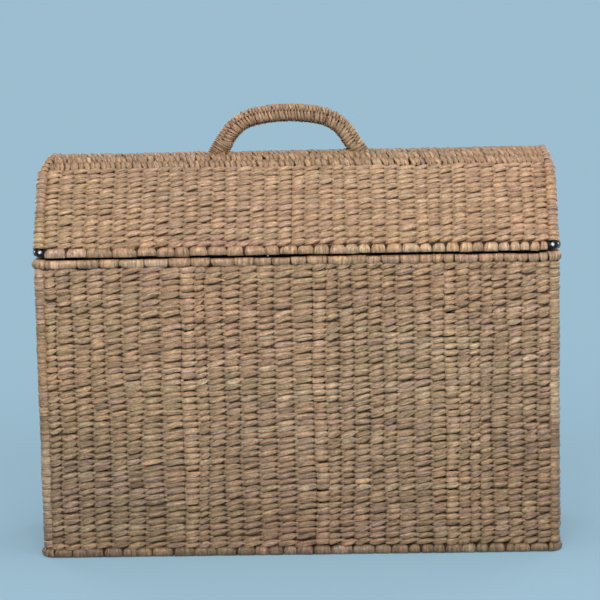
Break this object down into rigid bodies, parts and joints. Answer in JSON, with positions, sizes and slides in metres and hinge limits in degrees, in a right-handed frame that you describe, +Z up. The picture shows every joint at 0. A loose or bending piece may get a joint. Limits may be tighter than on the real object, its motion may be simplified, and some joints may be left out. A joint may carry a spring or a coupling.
{
  "type": "woven trunk",
  "caption": "Rush-woven carrying trunk on an iron rod frame, with wrapped rims and corners and a sloping lid that hinges at the back and carries an arched handle.",
  "frame": {"origin": "middle of the rectangle the trunk stands on, on the floor", "axes": "+X to the right along the width, -Y out of the front, +Z up"},
  "size_m": [0.6, 0.2, 0.5129],
  "materials": {
    "rush_weave": "twined dry rush, matte with a slight sheen",
    "rush_wrap": "dry rush wrapped round the rods, matte",
    "iron": "gloss black paint"
  },
  "bodies": {
    "body": {"body_rim_rod": "iron", "base_rim_rod": "iron", "post_front_left": "iron", "post_front_right": "iron", "post_rear_left": "iron", "post_rear_right": "iron", "front_upright_left": "iron", "front_upright_middle": "iron", "front_upright_right": "iron", "rear_upright_left": "iron", "rear_upright_middle": "iron", "rear_upright_right": "iron", "left_upright": "iron", "right_upright": "iron", "floor_bar_left": "iron", "floor_bar_middle": "iron", "floor_bar_right": "iron", "front_weave": "rush_weave", "rear_weave": "rush_weave", "left_weave": "rush_weave", "right_weave": "rush_weave", "floor_weave": "rush_weave", "body_rim_wrap_front": "rush_wrap", "body_rim_wrap_rear": "rush_wrap", "body_rim_wrap_left": "rush_wrap", "body_rim_wrap_right": "rush_wrap", "base_wrap_front": "rush_wrap", "base_wrap_rear": "rush_wrap", "base_wrap_left": "rush_wrap", "base_wrap_right": "rush_wrap", "corner_wrap_front_left": "rush_wrap", "corner_wrap_front_right": "rush_wrap", "corner_wrap_rear_left": "rush_wrap", "corner_wrap_rear_right": "rush_wrap", "hinge_loop_left": "iron", "hinge_loop_right": "iron"},
    "lid": {"lid_rim_rod": "iron", "lid_hoop_left": "iron", "lid_hoop_right": "iron", "ridge_rod_front": "iron", "ridge_rod_rear": "iron", "ridge_keel": "iron", "handle_core": "iron", "lid_front_weave": "rush_weave", "lid_rear_weave": "rush_weave", "lid_left_weave": "rush_weave", "lid_right_weave": "rush_weave", "ridge_weave": "rush_weave", "handle_weave": "rush_weave", "lid_rim_wrap_front": "rush_wrap", "lid_rim_wrap_rear": "rush_wrap", "lid_rim_wrap_left": "rush_wrap", "lid_rim_wrap_right": "rush_wrap", "lid_end_wrap_left": "rush_wrap", "lid_end_wrap_right": "rush_wrap", "handle_foot_wrap_left": "rush_wrap", "handle_foot_wrap_right": "rush_wrap"}
  },
  "joints": [
    {"name": "lid_hinge", "type": "hinge", "parent": "body", "child": "lid", "pos_m": [0, 0.0938, 0.3526], "axis": [-1, 0, 0], "range_deg": [0, 120]}
  ]
}
